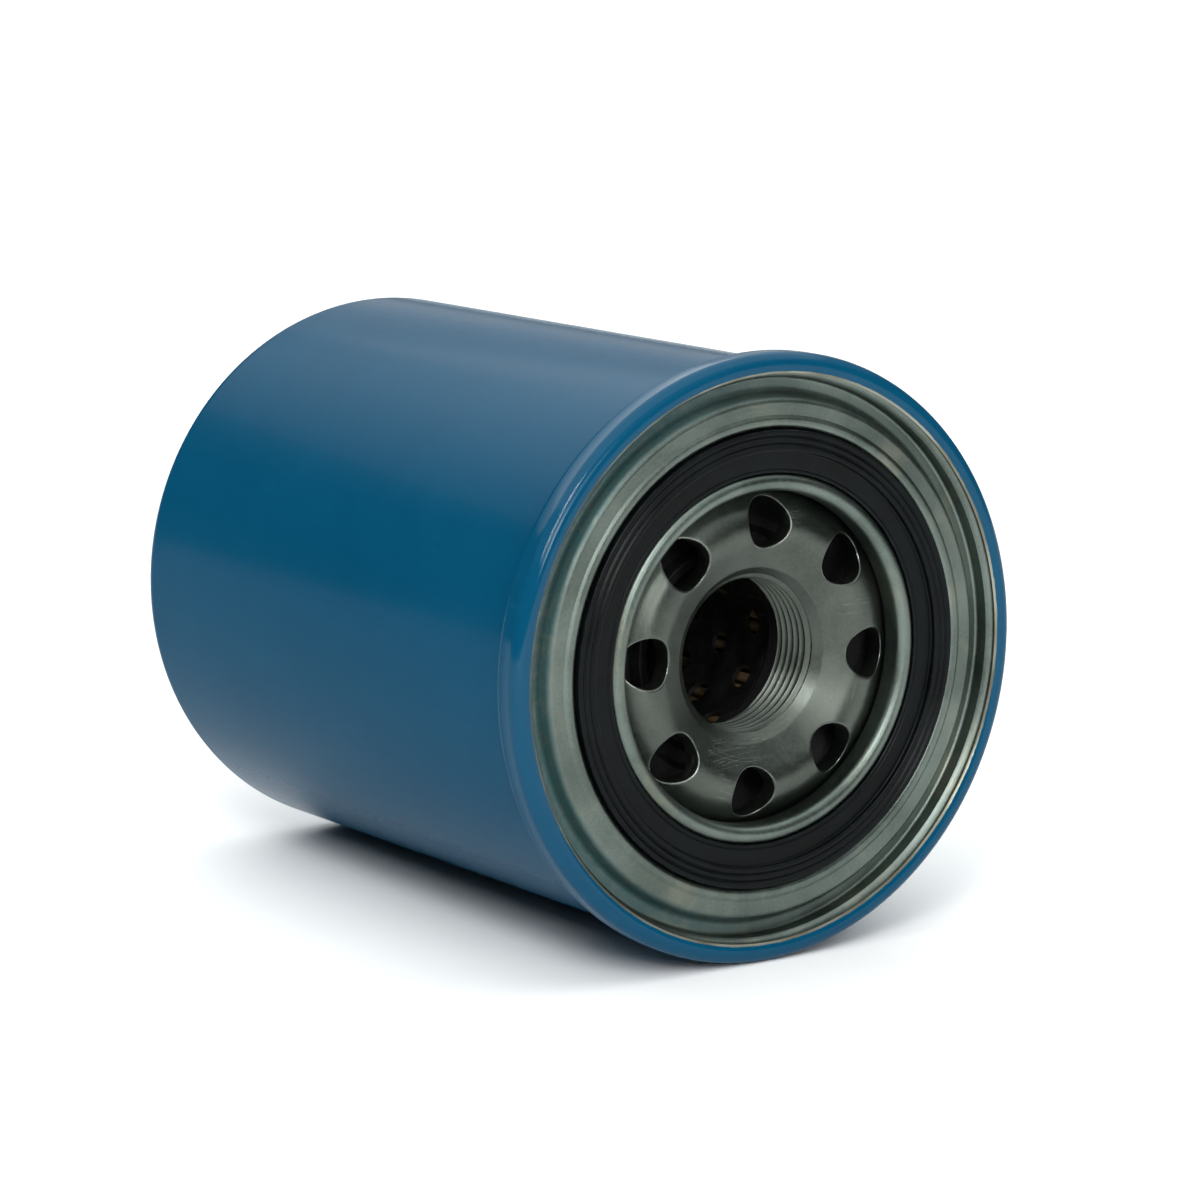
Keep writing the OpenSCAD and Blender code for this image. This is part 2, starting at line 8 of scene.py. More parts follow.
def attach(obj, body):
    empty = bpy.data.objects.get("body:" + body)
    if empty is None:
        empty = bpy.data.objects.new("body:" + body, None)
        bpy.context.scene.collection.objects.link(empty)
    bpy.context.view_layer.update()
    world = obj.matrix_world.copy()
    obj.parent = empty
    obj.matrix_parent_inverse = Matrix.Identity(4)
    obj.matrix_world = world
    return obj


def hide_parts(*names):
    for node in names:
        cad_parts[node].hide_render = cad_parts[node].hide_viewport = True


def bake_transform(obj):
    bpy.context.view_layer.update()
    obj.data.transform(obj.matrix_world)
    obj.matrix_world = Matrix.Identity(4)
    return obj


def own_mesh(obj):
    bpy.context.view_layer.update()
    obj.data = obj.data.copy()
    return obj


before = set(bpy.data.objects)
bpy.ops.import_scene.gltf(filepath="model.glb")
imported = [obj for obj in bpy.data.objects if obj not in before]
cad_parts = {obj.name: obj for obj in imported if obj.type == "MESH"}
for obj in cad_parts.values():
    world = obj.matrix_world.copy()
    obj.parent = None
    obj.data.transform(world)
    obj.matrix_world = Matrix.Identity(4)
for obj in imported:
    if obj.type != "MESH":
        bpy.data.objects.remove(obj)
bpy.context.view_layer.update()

# ---- Tapping plate ---------------------------------------------------------------------------
# A 3 mm steel blank, pressed into a low crown with a deep neck, pierced with eight oil inlets
# and tapped right-handed M26 x 1.5. It carries the whole filter on the engine's stud.
# Outlines below are (radius, height out of the mouth) in millimetres, as the piece is turned.

MOUTH_FACES = -1  # height counts towards -Y


def place(r, angle, height):
    """The point in metres at that radius, angle and height on the filter's axis."""
    return Vector((r * math.cos(angle), MOUTH_FACES * height, r * math.sin(angle))) / 1000


def rounded(points, finest=0.12):
    """The line through (r, height, fillet) points, its corners rounded where a fillet is given."""
    line = []
    for i, (r, h, fillet) in enumerate(points):
        if fillet <= 0:
            line.append(Vector((r, h)))
            continue
        q = Vector((r, h))
        u = (Vector(points[i - 1][:2]) - q).normalized()
        v = (Vector(points[(i + 1) % len(points)][:2]) - q).normalized()
        half = u.angle(v) / 2
        centre = q + (u + v).normalized() * fillet / math.sin(half)
        a, b = (q + w * fillet / math.tan(half) - centre for w in (u, v))
        first = math.atan2(a.y, a.x)
        sweep = (math.atan2(b.y, b.x) - first + math.pi) % (2 * math.pi) - math.pi
        steps = max(4, min(14, round(abs(sweep) * fillet / finest)))
        for k in range(steps + 1):
            turn = first + sweep * k / steps
            line.append(centre + fillet * Vector((math.cos(turn), math.sin(turn))))
    return line


def finish_mesh(bm, name, body, crease=32):
    """A smooth-shaded object from a bmesh; it rides on its body, unless that is None."""
    bmesh.ops.recalc_face_normals(bm, faces=bm.faces)
    mesh = bpy.data.meshes.new(name)
    bm.to_mesh(mesh)
    bm.free()
    mesh.shade_smooth()
    mesh.set_sharp_from_angle(angle=math.radians(crease))
    piece = bpy.data.objects.new(name, mesh)
    bpy.context.scene.collection.objects.link(piece)
    if body:
        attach(piece, body)
    return piece


def height_at(line, r):
    """The height of a line of (r, height) points at radius r."""
    for a, b in zip(line, line[1:]):
        if min(a.x, b.x) - 1e-6 <= r <= max(a.x, b.x) + 1e-6 and abs(a.x - b.x) > 1e-9:
            return a.y + (b.y - a.y) * (r - a.x) / (b.x - a.x)
    raise ValueError(r)


thread_minor_r, thread_major_r, thread_pitch = 12.188, 13.0, 1.5
mouth_r, mouth_h, neck_end_h = 14.088, -4.844, -15.344
neck_r, neck_chamfer = 15.188, 0.9
plate_edge_r, plate_top_h = 39.92, -5.8
inlet_r, inlet_hole_r, inlet_count = 21.48, 4.0, 8
inlet_first = math.radians(-3.7)
plate_turns = 256

plate_face = rounded([
    (mouth_r, mouth_h, 0), (mouth_r + 0.25, mouth_h + 0.13, 0),
    (19.444, -2.0, 4.99), (22.502, -2.0, 4.99), (27.031, plate_top_h, 2.5),
    (plate_edge_r - 0.4, plate_top_h, 0), (plate_edge_r, plate_top_h - 0.4, 0),
])
plate_back = rounded([
    (neck_r, neck_end_h + 0.3, 0), (neck_r, -7.635, 1.0), (20.192, -5.0, 1.99),
    (21.41, -5.0, 1.99), (25.939, -8.8, 5.5), (plate_edge_r - 0.4, -8.8, 0),
    (plate_edge_r, -8.4, 0),
])
zone_in, zone_out = 16.9, 26.2
sector = 2 * math.pi / inlet_count
plate_start = inlet_first - sector / 2


def thread_radius(angle, height):
    """The bore's radius: a 60 degree thread, opened by a 45 degree chamfer at each end."""
    turn = (height / thread_pitch - angle / (2 * math.pi)) % 1
    rise = min(max(min(turn - 0.22, 1 - turn) / 0.3125, 0), 1)
    r = thread_minor_r + (thread_major_r - thread_minor_r) * rise
    return max(r, mouth_r - (mouth_h - height), thread_minor_r + neck_chamfer - (height - neck_end_h))


def skin(bm, rows, wrap=True, lead=0):
    """Faces between rows of vertices; lead shifts the row where a helix closes on itself."""
    count = len(rows[0])
    for i in range(len(rows) - 1):
        for k in range(count if wrap else count - 1):
            n, step = (k + 1) % count, lead if k + 1 == count else 0
            if i + 1 + step >= len(rows):
                continue
            bm.faces.new([rows[i][k], rows[i + step][n], rows[i + 1 + step][n], rows[i + 1][k]])


def plate_mesh():
    bm = bmesh.new()
    angles = [plate_start + 2 * math.pi * k / plate_turns for k in range(plate_turns)]

    def circle(r, h):
        return [bm.verts.new(place(r, a, h)) for a in angles]

    # The tapped bore, on rows that climb with the thread
    per_pitch = 12
    rows = []
    for m in range(int((mouth_h - neck_end_h + 2 * thread_pitch) / thread_pitch * per_pitch) + 1):
        row = []
        for k, a in enumerate(angles):
            h = neck_end_h - thread_pitch + thread_pitch * (m / per_pitch + k / plate_turns)
            h = min(max(h, neck_end_h), mouth_h)
            row.append(bm.verts.new(place(thread_radius(a - plate_start, h), a, h)))
        rows.append(row)
    skin(bm, rows, lead=per_pitch)

    # Plain turned zones: mouth to inlets, inlets to edge and back, and the neck
    inside = [p for p in plate_face if p.x < zone_in - 0.05]
    outside = [p for p in plate_face if p.x > zone_out + 0.05]
    skin(bm, [circle(*p) for p in inside] + [circle(zone_in, height_at(plate_face, zone_in))])
    back_out = [p for p in plate_back if p.x > zone_out + 0.05]
    back_in = [p for p in plate_back if p.x < zone_in - 0.05]
    skin(bm, [circle(zone_out, height_at(plate_face, zone_out))] + [circle(*p) for p in outside]
         + [circle(*p) for p in reversed(back_out)]
         + [circle(zone_out, height_at(plate_back[6:], zone_out))])
    skin(bm, [circle(zone_in, height_at(plate_back[3:], zone_in))]
         + [circle(*p) for p in reversed(back_in)]
         + [circle(neck_r - 0.3, neck_end_h), circle(thread_minor_r + neck_chamfer, neck_end_h)])

    # Eight sectors, each pierced, its rim rounded over by the punch
    rim, arcs, sides = 0.35, plate_turns // inlet_count, 14
    for s in range(inlet_count):
        middle = inlet_first + s * sector
        centre = Vector((inlet_r * math.cos(middle), inlet_r * math.sin(middle)))
        border = [(zone_in, -0.5 + k / arcs) for k in range(arcs)]
        border += [(zone_in + (zone_out - zone_in) * k / sides, 0.5) for k in range(sides)]
        border += [(zone_out, 0.5 - k / arcs) for k in range(arcs)]
        border += [(zone_out + (zone_in - zone_out) * k / sides, -0.5) for k in range(sides)]
        border = [Vector((r * math.cos(middle + t * sector), r * math.sin(middle + t * sector)))
                  for r, t in border]
        rays = [(b - centre).normalized() for b in border]

        def ring(radius, line, drop=0.0, spread=0.0):
            made = []
            for b, ray in zip(border, rays):
                p = (centre + ray * radius).lerp(b, spread)
                h = height_at(line, min(max(p.length, zone_in), zone_out)) - drop
                made.append(bm.verts.new(Vector((p.x, -h, p.y)) / 1000))
            return made

        face_line, back_line = plate_face, plate_back[3:]
        rings = [ring(inlet_hole_r + rim, face_line, spread=t)
                 for t in (1, 0.75, 0.5, 0.25, 0.08, 0)]
        for k in range(1, 5):
            turn = math.pi / 2 * k / 4
            rings.append(ring(inlet_hole_r + rim - rim * math.sin(turn), face_line,
                              drop=rim - rim * math.cos(turn)))
        rings += [ring(inlet_hole_r, back_line, spread=t) for t in (0, 0.1, 0.3, 0.6, 1)]
        skin(bm, rings)
    bmesh.ops.remove_doubles(bm, verts=bm.verts, dist=2e-6)
    return bm


def node_in(tree, kind, wires=None, **settings):
    """A node with its settings, its sockets given values or linked from others."""
    made = tree.nodes.new(kind)
    for key, value in settings.items():
        setattr(made, key, value)
    for key, value in (wires or {}).items():
        if isinstance(value, bpy.types.NodeSocket):
            tree.links.new(value, made.inputs[key])
        else:
            made.inputs[key].default_value = value
    return made


def maths(tree, how, a, b=0.0, clamp=False):
    return node_in(tree, "ShaderNodeMath", {0: a, 1: b}, operation=how, use_clamp=clamp).outputs[0]


def span(tree, value, low, high, to_low=0.0, to_high=1.0):
    """value between low and high, eased, as a number between to_low and to_high."""
    return node_in(tree, "ShaderNodeMapRange",
                   {"Value": value, "From Min": low, "From Max": high,
                    "To Min": to_low, "To Max": to_high},
                   interpolation_type="SMOOTHSTEP").outputs["Result"]


def blend_colour(tree, share, a, b):
    made = node_in(tree, "ShaderNodeMix", {"Factor": share}, data_type="RGBA")
    for key, value in ((6, a), (7, b)):
        if isinstance(value, bpy.types.NodeSocket):
            tree.links.new(value, made.inputs[key])
        else:
            made.inputs[key].default_value = (*value, 1)
    return made.outputs[2]


def noise(tree, vector, scale, detail=2.0, rough=0.5, distortion=0.0):
    return node_in(tree, "ShaderNodeTexNoise",
                   {"Vector": vector, "Scale": scale, "Detail": detail, "Roughness": rough,
                    "Distortion": distortion}).outputs["Fac"]


def node_group(name, inputs, outputs):
    """An empty group with named inputs (name, socket type, value) and outputs (name, type)."""
    tree = bpy.data.node_groups.new(name, "ShaderNodeTree")
    for label, kind, value in inputs:
        socket = tree.interface.new_socket(label, in_out="INPUT", socket_type="NodeSocket" + kind)
        socket.default_value = value
    for label, kind in outputs:
        tree.interface.new_socket(label, in_out="OUTPUT", socket_type="NodeSocket" + kind)
    return tree, tree.nodes.new("NodeGroupInput"), tree.nodes.new("NodeGroupOutput")


def use_group(tree, group, **values):
    made = tree.nodes.new("ShaderNodeGroup")
    made.node_tree = group
    for key, value in values.items():
        label = key.replace("_", " ")
        if isinstance(value, bpy.types.NodeSocket):
            tree.links.new(value, made.inputs[label])
        else:
            made.inputs[label].default_value = (*value, 1) if isinstance(value, tuple) else value
    return made.outputs


def around_axis():
    """Where a point is on the filter: its radius and its depth behind the gasket's face, in mm."""
    tree, _, out = node_group("Around the axis", [], [("Radius", "Float"), ("Depth", "Float")])
    at = node_in(tree, "ShaderNodeTexCoord").outputs["Object"]
    axes = node_in(tree, "ShaderNodeSeparateXYZ", {"Vector": at}).outputs
    square = maths(tree, "ADD", maths(tree, "MULTIPLY", axes["X"], axes["X"]),
                   maths(tree, "MULTIPLY", axes["Z"], axes["Z"]))
    tree.links.new(maths(tree, "MULTIPLY", maths(tree, "SQRT", square), 1000.0), out.inputs["Radius"])
    tree.links.new(maths(tree, "MULTIPLY", axes["Y"], 1000.0), out.inputs["Depth"])
    return tree


def uneven_finish():
    """Slow blotches and a fine grain in colour, roughness and height."""
    tree, given, out = node_group(
        "Uneven finish",
        [("Blotch scale", "Float", 60.0), ("Grain scale", "Float", 1500.0),
         ("Dark", "Color", (0.2, 0.2, 0.2, 1)), ("Light", "Color", (0.4, 0.4, 0.4, 1)),
         ("Smooth", "Float", 0.3), ("Rough", "Float", 0.5)],
        [("Colour", "Color"), ("Roughness", "Float"), ("Grain", "Float")])
    at = node_in(tree, "ShaderNodeTexCoord").outputs["Object"]
    blotch = noise(tree, at, given.outputs["Blotch scale"], 4.0, 0.6, 0.4)
    grain = noise(tree, at, given.outputs["Grain scale"], 2.0, 0.6)
    both = maths(tree, "ADD", maths(tree, "MULTIPLY", blotch, 0.75),
                 maths(tree, "MULTIPLY", grain, 0.25))
    share = span(tree, both, 0.32, 0.68)
    mix = node_in(tree, "ShaderNodeMix", {"Factor": share, 6: given.outputs["Dark"],
                                          7: given.outputs["Light"]}, data_type="RGBA")
    tree.links.new(mix.outputs[2], out.inputs["Colour"])
    rough = node_in(tree, "ShaderNodeMapRange",
                    {"Value": maths(tree, "ADD", maths(tree, "MULTIPLY", blotch, 0.5),
                                    maths(tree, "MULTIPLY", grain, 0.5)),
                     "From Min": 0.3, "From Max": 0.7, "To Min": given.outputs["Smooth"],
                     "To Max": given.outputs["Rough"]}).outputs["Result"]
    tree.links.new(rough, out.inputs["Roughness"])
    tree.links.new(grain, out.inputs["Grain"])
    return tree


def turning_marks():
    """Faint rings around the axis, as pressing and turning leave them."""
    tree, given, out = node_group("Turning marks", [("Rings per mm", "Float", 4.0)],
                                  [("Height", "Float")])
    where = use_group(tree, around_axis_group)
    along = maths(tree, "ADD", where["Radius"], maths(tree, "MULTIPLY", where["Depth"], 1.3))
    at = node_in(tree, "ShaderNodeTexCoord").outputs["Object"]
    wander = noise(tree, at, 40.0, 1.0)
    line = maths(tree, "ADD", maths(tree, "MULTIPLY", along, given.outputs["Rings per mm"]), wander)
    rings = node_in(tree, "ShaderNodeTexNoise", {"W": line, "Scale": 1.0, "Detail": 2.0},
                    noise_dimensions="1D").outputs["Fac"]
    tree.links.new(rings, out.inputs["Height"])
    return tree


def convex_edge_mask():
    """Convex edges, from the stored edge value broken up by noise: rubbed wear on some finishes, painted
    glints and sheen on others.
    """
    tree, given, out = node_group("Convex edges", [("Reach", "Float", 0.5), ("Scale", "Float", 500.0)],
                                  [("Mask", "Float")])
    edge = node_in(tree, "ShaderNodeAttribute", attribute_name="edge").outputs["Fac"]
    at = node_in(tree, "ShaderNodeTexCoord").outputs["Object"]
    broken = noise(tree, at, given.outputs["Scale"], 3.0, 0.7)
    uneven = maths(tree, "MULTIPLY", maths(tree, "SUBTRACT", broken, 0.5), 0.9)
    level = maths(tree, "ADD", edge, uneven)
    mask = span(tree, maths(tree, "ADD", level, given.outputs["Reach"]), 0.75, 1.25)
    tree.links.new(mask, out.inputs["Mask"])
    return tree


def specks():
    """Small scattered specks of dust or chips."""
    tree, given, out = node_group("Specks", [("Scale", "Float", 400.0), ("Size", "Float", 0.12),
                                             ("Share", "Float", 0.1)], [("Mask", "Float")])
    at = node_in(tree, "ShaderNodeTexCoord").outputs["Object"]
    cells = node_in(tree, "ShaderNodeTexVoronoi", {"Vector": at, "Scale": given.outputs["Scale"]})
    own = node_in(tree, "ShaderNodeSeparateColor", {"Color": cells.outputs["Color"]}).outputs[0]
    picked = maths(tree, "LESS_THAN", own, given.outputs["Share"])
    size = maths(tree, "MULTIPLY", given.outputs["Size"],
                 maths(tree, "DIVIDE", own, given.outputs["Share"]))
    near = maths(tree, "LESS_THAN", cells.outputs["Distance"], size)
    tree.links.new(maths(tree, "MULTIPLY", picked, near), out.inputs["Mask"])
    return tree


def scratches():
    """Thin handling scratches that run in two crossing directions."""
    tree, given, out = node_group("Handling scratches",
                                  [("Scale", "Float", 90.0), ("Share", "Float", 0.5)],
                                  [("Mask", "Float")])
    at = node_in(tree, "ShaderNodeTexCoord").outputs["Object"]
    masks = []
    for turn, thin in (((0.3, 0.2, 0.5), (0.5, 40, 1.5)), ((0.1, -0.9, -0.6), (1.5, 0.6, 46))):
        laid = node_in(tree, "ShaderNodeMapping",
                       {"Vector": at, "Rotation": turn, "Scale": thin}).outputs[0]
        line = noise(tree, laid, given.outputs["Scale"], 1.0, 0.5, 0.2)
        aside = maths(tree, "ABSOLUTE", maths(tree, "SUBTRACT", line, 0.5))
        thread = span(tree, aside, 0.0, 0.006, 1.0, 0.0)
        gate = span(tree, noise(tree, at, 110.0, 1.0), 0.56, 0.66)
        masks.append(maths(tree, "MULTIPLY", thread, gate))
    both = maths(tree, "MAXIMUM", masks[0], masks[1])
    tree.links.new(maths(tree, "MULTIPLY", both, given.outputs["Share"]), out.inputs["Mask"])
    return tree


around_axis_group = around_axis()
uneven_group = uneven_finish()
turning_group = turning_marks()
convex_edge_group = convex_edge_mask()
specks_group = specks()
scratches_group = scratches()


def new_material(name, **sockets):
    """A material whose shader has these sockets set; returns it, its tree and the shader."""
    made = bpy.data.materials.new(name)
    made.use_nodes = True
    tree = made.node_tree
    shader = tree.nodes["Principled BSDF"]
    for key, value in sockets.items():
        shader.inputs[key.replace("_", " ")].default_value = value
    return made, tree, shader


def bump(tree, shader, height, depth, strength=1.0):
    """Height, in a share of depth metres, as the shader's normal."""
    made = node_in(tree, "ShaderNodeBump", {"Height": height, "Distance": depth, "Strength": strength})
    tree.links.new(made.outputs["Normal"], shader.inputs["Normal"])


def oiled_steel():
    """Plain mill-finish steel under a film of oil, darker where the film is thick; its convex edges, the
    inlet rims among them, carry a painted glint in the same light steel colour as its real scratches.
    """
    made, tree, shader = new_material("Oiled pressed steel", Metallic=1.0)
    base = use_group(tree, uneven_group, Blotch_scale=70.0, Grain_scale=1800.0,
                     Dark=(0.064, 0.073, 0.064), Light=(0.104, 0.117, 0.102), Smooth=0.3, Rough=0.46)
    rings = use_group(tree, turning_group, Rings_per_mm=2.2)
    convex_edges = use_group(tree, convex_edge_group, Reach=-0.05, Scale=700.0)["Mask"]
    marks = use_group(tree, scratches_group, Scale=26.0, Share=0.7)["Mask"]
    # Painted glint: the convex-edge mask lights up the inlet rims and other edges, and with the real
    # scratches it takes the light steel colour below.
    glint_and_scratches = maths(tree, "MAXIMUM", convex_edges, marks)
    colour = blend_colour(tree, glint_and_scratches, base["Colour"], (0.2, 0.213, 0.2))
    tree.links.new(colour, shader.inputs["Base Color"])
    rough = maths(tree, "SUBTRACT", base["Roughness"], maths(tree, "MULTIPLY", glint_and_scratches, 0.08), clamp=True)
    tree.links.new(rough, shader.inputs["Roughness"])
    height = maths(tree, "ADD", maths(tree, "MULTIPLY", base["Grain"], 0.35),
                   maths(tree, "SUBTRACT", maths(tree, "MULTIPLY", rings["Height"], 0.3), marks))
    bump(tree, shader, height, 0.00003, 0.8)
    return made


plate_steel = oiled_steel()


def store_edges(piece, start=0.35, full=2.5):
    """Stores how sharply convex each point is, 0 at 1/start mm radius and 1 at 1/full mm."""
    mesh = piece.data
    bm = bmesh.new()
    bm.from_mesh(mesh)
    bm.normal_update()
    values = []
    for v in bm.verts:
        sharpest = 0.0
        for e in v.link_edges:
            if len(e.link_faces) == 2 and e.is_convex:
                across = sum(f.calc_area() for f in e.link_faces) / max(e.calc_length(), 1e-9) * 500
                sharpest = max(sharpest, e.calc_face_angle(0.0) / max(across, 0.12))
        values.append(min(max((sharpest - start) / (full - start), 0.0), 1.0))
    bm.free()
    layer = mesh.attributes.new("edge", "FLOAT", "POINT")
    layer.data.foreach_set("value", values)


plate = finish_mesh(plate_mesh(), "tapping_plate_steel", "housing")
store_edges(plate)
plate.data.materials.append(plate_steel)
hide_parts("tapping_plate")

# ---- Seaming lid -----------------------------------------------------------------------------
# 0.8 mm zinc-plated strip steel, drawn into a bead, a groove for the gasket, a ridge and the
# channel beside the seam. It is spot-welded to the plate and hooked into the rolled seam.

lid_t, seam_middle, hook_mid_r, roll_mid_r = 0.8, Vector((46.5, -1.4)), 0.85, 1.6


def arc_line(centre, radius, first, last, steps):
    return [centre + radius * Vector((math.cos(a), math.sin(a)))
            for a in (math.radians(first + (last - first) * k / steps) for k in range(steps + 1))]


def offset(path, d):
    """The line d to the left of a path."""
    moved = []
    for i, p in enumerate(path):
        u = (p - path[i - 1]).normalized() if i else (path[1] - path[0]).normalized()
        v = (path[i + 1] - p).normalized() if i + 1 < len(path) else u
        moved.append(p + Vector((-u.y - v.y, u.x + v.x)) * d / (1 + u.dot(v)))
    return moved


def sheet_outline(path, t, ease):
    """The closed outline of sheet metal on a middle line, its two cut ends eased a little."""
    left, right = offset(path, t / 2), offset(path, -t / 2)
    for line in (left, right):
        for end, step in ((0, 1), (-1, -2)):
            line[end] = line[end] + (line[step] - line[end]).normalized() * ease
    inner = offset(path, t / 2 - ease), offset(path, ease - t / 2)
    left = [inner[0][0]] + left + [inner[0][-1]]
    right = [inner[1][0]] + right + [inner[1][-1]]
    return left + right[::-1]


def turned(name, outline, body, slot, turns, **marked):
    """A closed outline turned round the axis; marked stores one value per outline point."""
    bm = bmesh.new()
    rows = []
    for p in outline:
        if p.x < 1e-6:
            rows.append([bm.verts.new(place(0, 0, p.y))])
        else:
            rows.append([bm.verts.new(place(p.x, 2 * math.pi * k / turns, p.y))
                         for k in range(turns)])
    for i in range(len(rows)):
        a, b = rows[i], rows[(i + 1) % len(rows)]
        if len(a) == 1 and len(b) == 1:
            continue
        for k in range(turns):
            n = (k + 1) % turns
            corners = [a[k % len(a)], a[n % len(a)], b[n % len(b)], b[k % len(b)]]
            bm.faces.new(list(dict.fromkeys(corners)))
    counts = [len(row) for row in rows]
    piece = finish_mesh(bm, name, body)
    for label, values in marked.items():
        layer = piece.data.attributes.new(label, "FLOAT", "POINT")
        layer.data.foreach_set("value", [v for v, n in zip(values, counts) for _ in range(n)])
    store_edges(piece)
    return piece


lid_path = rounded([
    (26.98, -4.85, 0), (26.98, -1.15, 1.04), (29.08, -1.15, 1.04), (29.08, -5.4, 0.6),
    (36.82, -5.4, 0.6), (36.82, -1.0, 0.6), (37.92, -1.0, 0.5), (38.52, -1.3, 0.5),
    (41.0, -1.3, 0.8), (41.8, -4.0, 1.4), (44.9, -4.0, 1.0), (44.9, -1.4, 0)], 0.08)
for step in range(1, 9):
    turn = math.radians(180 - 40 * step / 8)
    r = roll_mid_r - (roll_mid_r - hook_mid_r) * step / 8
    lid_path.append(seam_middle + r * Vector((math.cos(turn), math.sin(turn))))
lid_path += arc_line(seam_middle, hook_mid_r, 134, 0, 18)
lid_path.append(seam_middle + Vector((hook_mid_r, -1.4)))


def plated_lid():
    """Bright zinc plate, clouded and a little yellowed, with a teal, less metallic tint on the flank beside
    the seam, strong on the left side and faint on the right.
    """
    made, tree, shader = new_material("Zinc plate", Metallic=1.0)
    base = use_group(tree, uneven_group, Blotch_scale=55.0, Grain_scale=2200.0,
                     Dark=(0.09, 0.112, 0.098), Light=(0.17, 0.203, 0.183), Smooth=0.32, Rough=0.46)
    where = use_group(tree, around_axis_group)
    rings = use_group(tree, turning_group, Rings_per_mm=3.0)
    convex_edges = use_group(tree, convex_edge_group, Reach=0.15, Scale=420.0)["Mask"]
    at = node_in(tree, "ShaderNodeTexCoord").outputs["Object"]
    cloud = noise(tree, at, 90.0, 3.0, 0.65)
    yellow = blend_colour(tree, span(tree, cloud, 0.52, 0.7, 0.0, 0.35), base["Colour"],
                          (0.26, 0.255, 0.19))
    bright = blend_colour(tree, maths(tree, "MULTIPLY", convex_edges, 0.4), yellow, (0.36, 0.39, 0.37))
    grain = noise(tree, at, 600.0, 4.0, 0.7)
    drift = maths(tree, "MULTIPLY", maths(tree, "SUBTRACT", cloud, 0.5), 1.2)
    reach = maths(tree, "ADD", where["Radius"], drift)
    # A teal, less metallic tint on the flank beside the seam, strong towards negative X and faint towards
    # positive X.
    beside = maths(tree, "MULTIPLY", span(tree, reach, 40.6, 41.6), span(tree, reach, 44.6, 43.5))
    across = node_in(tree, "ShaderNodeSeparateXYZ", {"Vector": at}).outputs["X"]
    teal_left_share = maths(tree, "MULTIPLY", beside, span(tree, across, 0.012, -0.022, 0.12, 0.95))
    teal_tint = maths(tree, "MULTIPLY", teal_left_share, span(tree, grain, 0.3, 0.62, 0.6, 1.0))
    tree.links.new(blend_colour(tree, teal_tint, bright, (0.018, 0.066, 0.068)), shader.inputs["Base Color"])
    tree.links.new(maths(tree, "SUBTRACT", 1.0, teal_tint), shader.inputs["Metallic"])
    tree.links.new(maths(tree, "ADD", base["Roughness"], maths(tree, "MULTIPLY", teal_tint, 0.12)),
                   shader.inputs["Roughness"])
    height = maths(tree, "ADD", maths(tree, "MULTIPLY", base["Grain"], 0.5),
                   maths(tree, "ADD", maths(tree, "MULTIPLY", rings["Height"], 0.25),
                         maths(tree, "MULTIPLY", cloud, 1.6)))
    bump(tree, shader, height, 0.00004, 0.7)
    return made


zinc = plated_lid()
lid = turned("seaming_lid_zinc", sheet_outline(lid_path, lid_t, 0.08), "housing", "zinc_plate", 288)
lid.data.materials.append(zinc)
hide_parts("seaming_lid")

# ---- Drain-back valve ------------------------------------------------------------------------
# One moulding of black nitrile rubber, stretched over the plate's neck. Its thick flange is the
# element's seat; its thin cone lies on the plate over the inlets and bends away as oil comes in.

flap_t, flap_root, flap_fold, flap_tip = 1.1, (22.758, -13.394), (28.32, -9.4), (30.92, -9.4)
flap_path = rounded([(*flap_root, 0), (*flap_fold, 1.5), (*flap_tip, 0)], 0.2)
flap_steps = [flap_path[0].lerp(flap_path[1], k / 10) for k in range(10)]
flap_path = flap_steps + flap_path[1:]
flap_under, flap_face = offset(flap_path, -flap_t / 2), offset(flap_path, flap_t / 2)
valve_outline = rounded([
    (15.208, -20.644, 0), (16.908, -20.644, 0.3), (16.908, -16.694, 0.4), (22.008, -16.694, 0.3),
    (22.008, -14.75, 0.15)], 0.1)
valve_outline += flap_under
valve_outline += arc_line(Vector((30.75, -9.4)), flap_t / 2, -90, 90, 8)[1:-1]
valve_outline += flap_face[::-1]
valve_outline += rounded([
    (22.1, -12.95, 0), (21.8, -12.844, 0.2), (20.4, -12.844, 0.3), (19.3, -14.344, 0.6),
    (17.2, -14.344, 0.5), (16.6, -11.994, 0.3), (15.208, -11.994, 0)], 0.1)


def moulded_rubber(name, dark, light, painted_sheen_colour, smooth, rough, dust):
    """Moulded rubber: a dull bloom, fine moulding grain, a painted sheen of lighter colour on its convex
    edges and a little dust.
    """
    made, tree, shader = new_material(name, Specular_IOR_Level=0.11)
    base = use_group(tree, uneven_group, Blotch_scale=110.0, Grain_scale=3200.0,
                     Dark=dark, Light=light, Smooth=smooth, Rough=rough)
    convex_edges = use_group(tree, convex_edge_group, Reach=0.3, Scale=350.0)["Mask"]
    spot = use_group(tree, specks_group, Scale=420.0, Size=0.16, Share=dust)["Mask"]
    rings = use_group(tree, turning_group, Rings_per_mm=2.6)
    # Painted sheen: convex edges are blended towards the lighter sheen colour.
    colour = blend_colour(tree, maths(tree, "MULTIPLY", convex_edges, 0.8), base["Colour"], painted_sheen_colour)
    tree.links.new(blend_colour(tree, spot, colour, (0.3, 0.3, 0.28)), shader.inputs["Base Color"])
    tree.links.new(maths(tree, "SUBTRACT", base["Roughness"], maths(tree, "MULTIPLY", convex_edges, 0.12)),
                   shader.inputs["Roughness"])
    height = maths(tree, "ADD", maths(tree, "MULTIPLY", base["Grain"], 0.7),
                   maths(tree, "ADD", maths(tree, "MULTIPLY", rings["Height"], 0.5), spot))
    bump(tree, shader, height, 0.00003, 0.9)
    return made


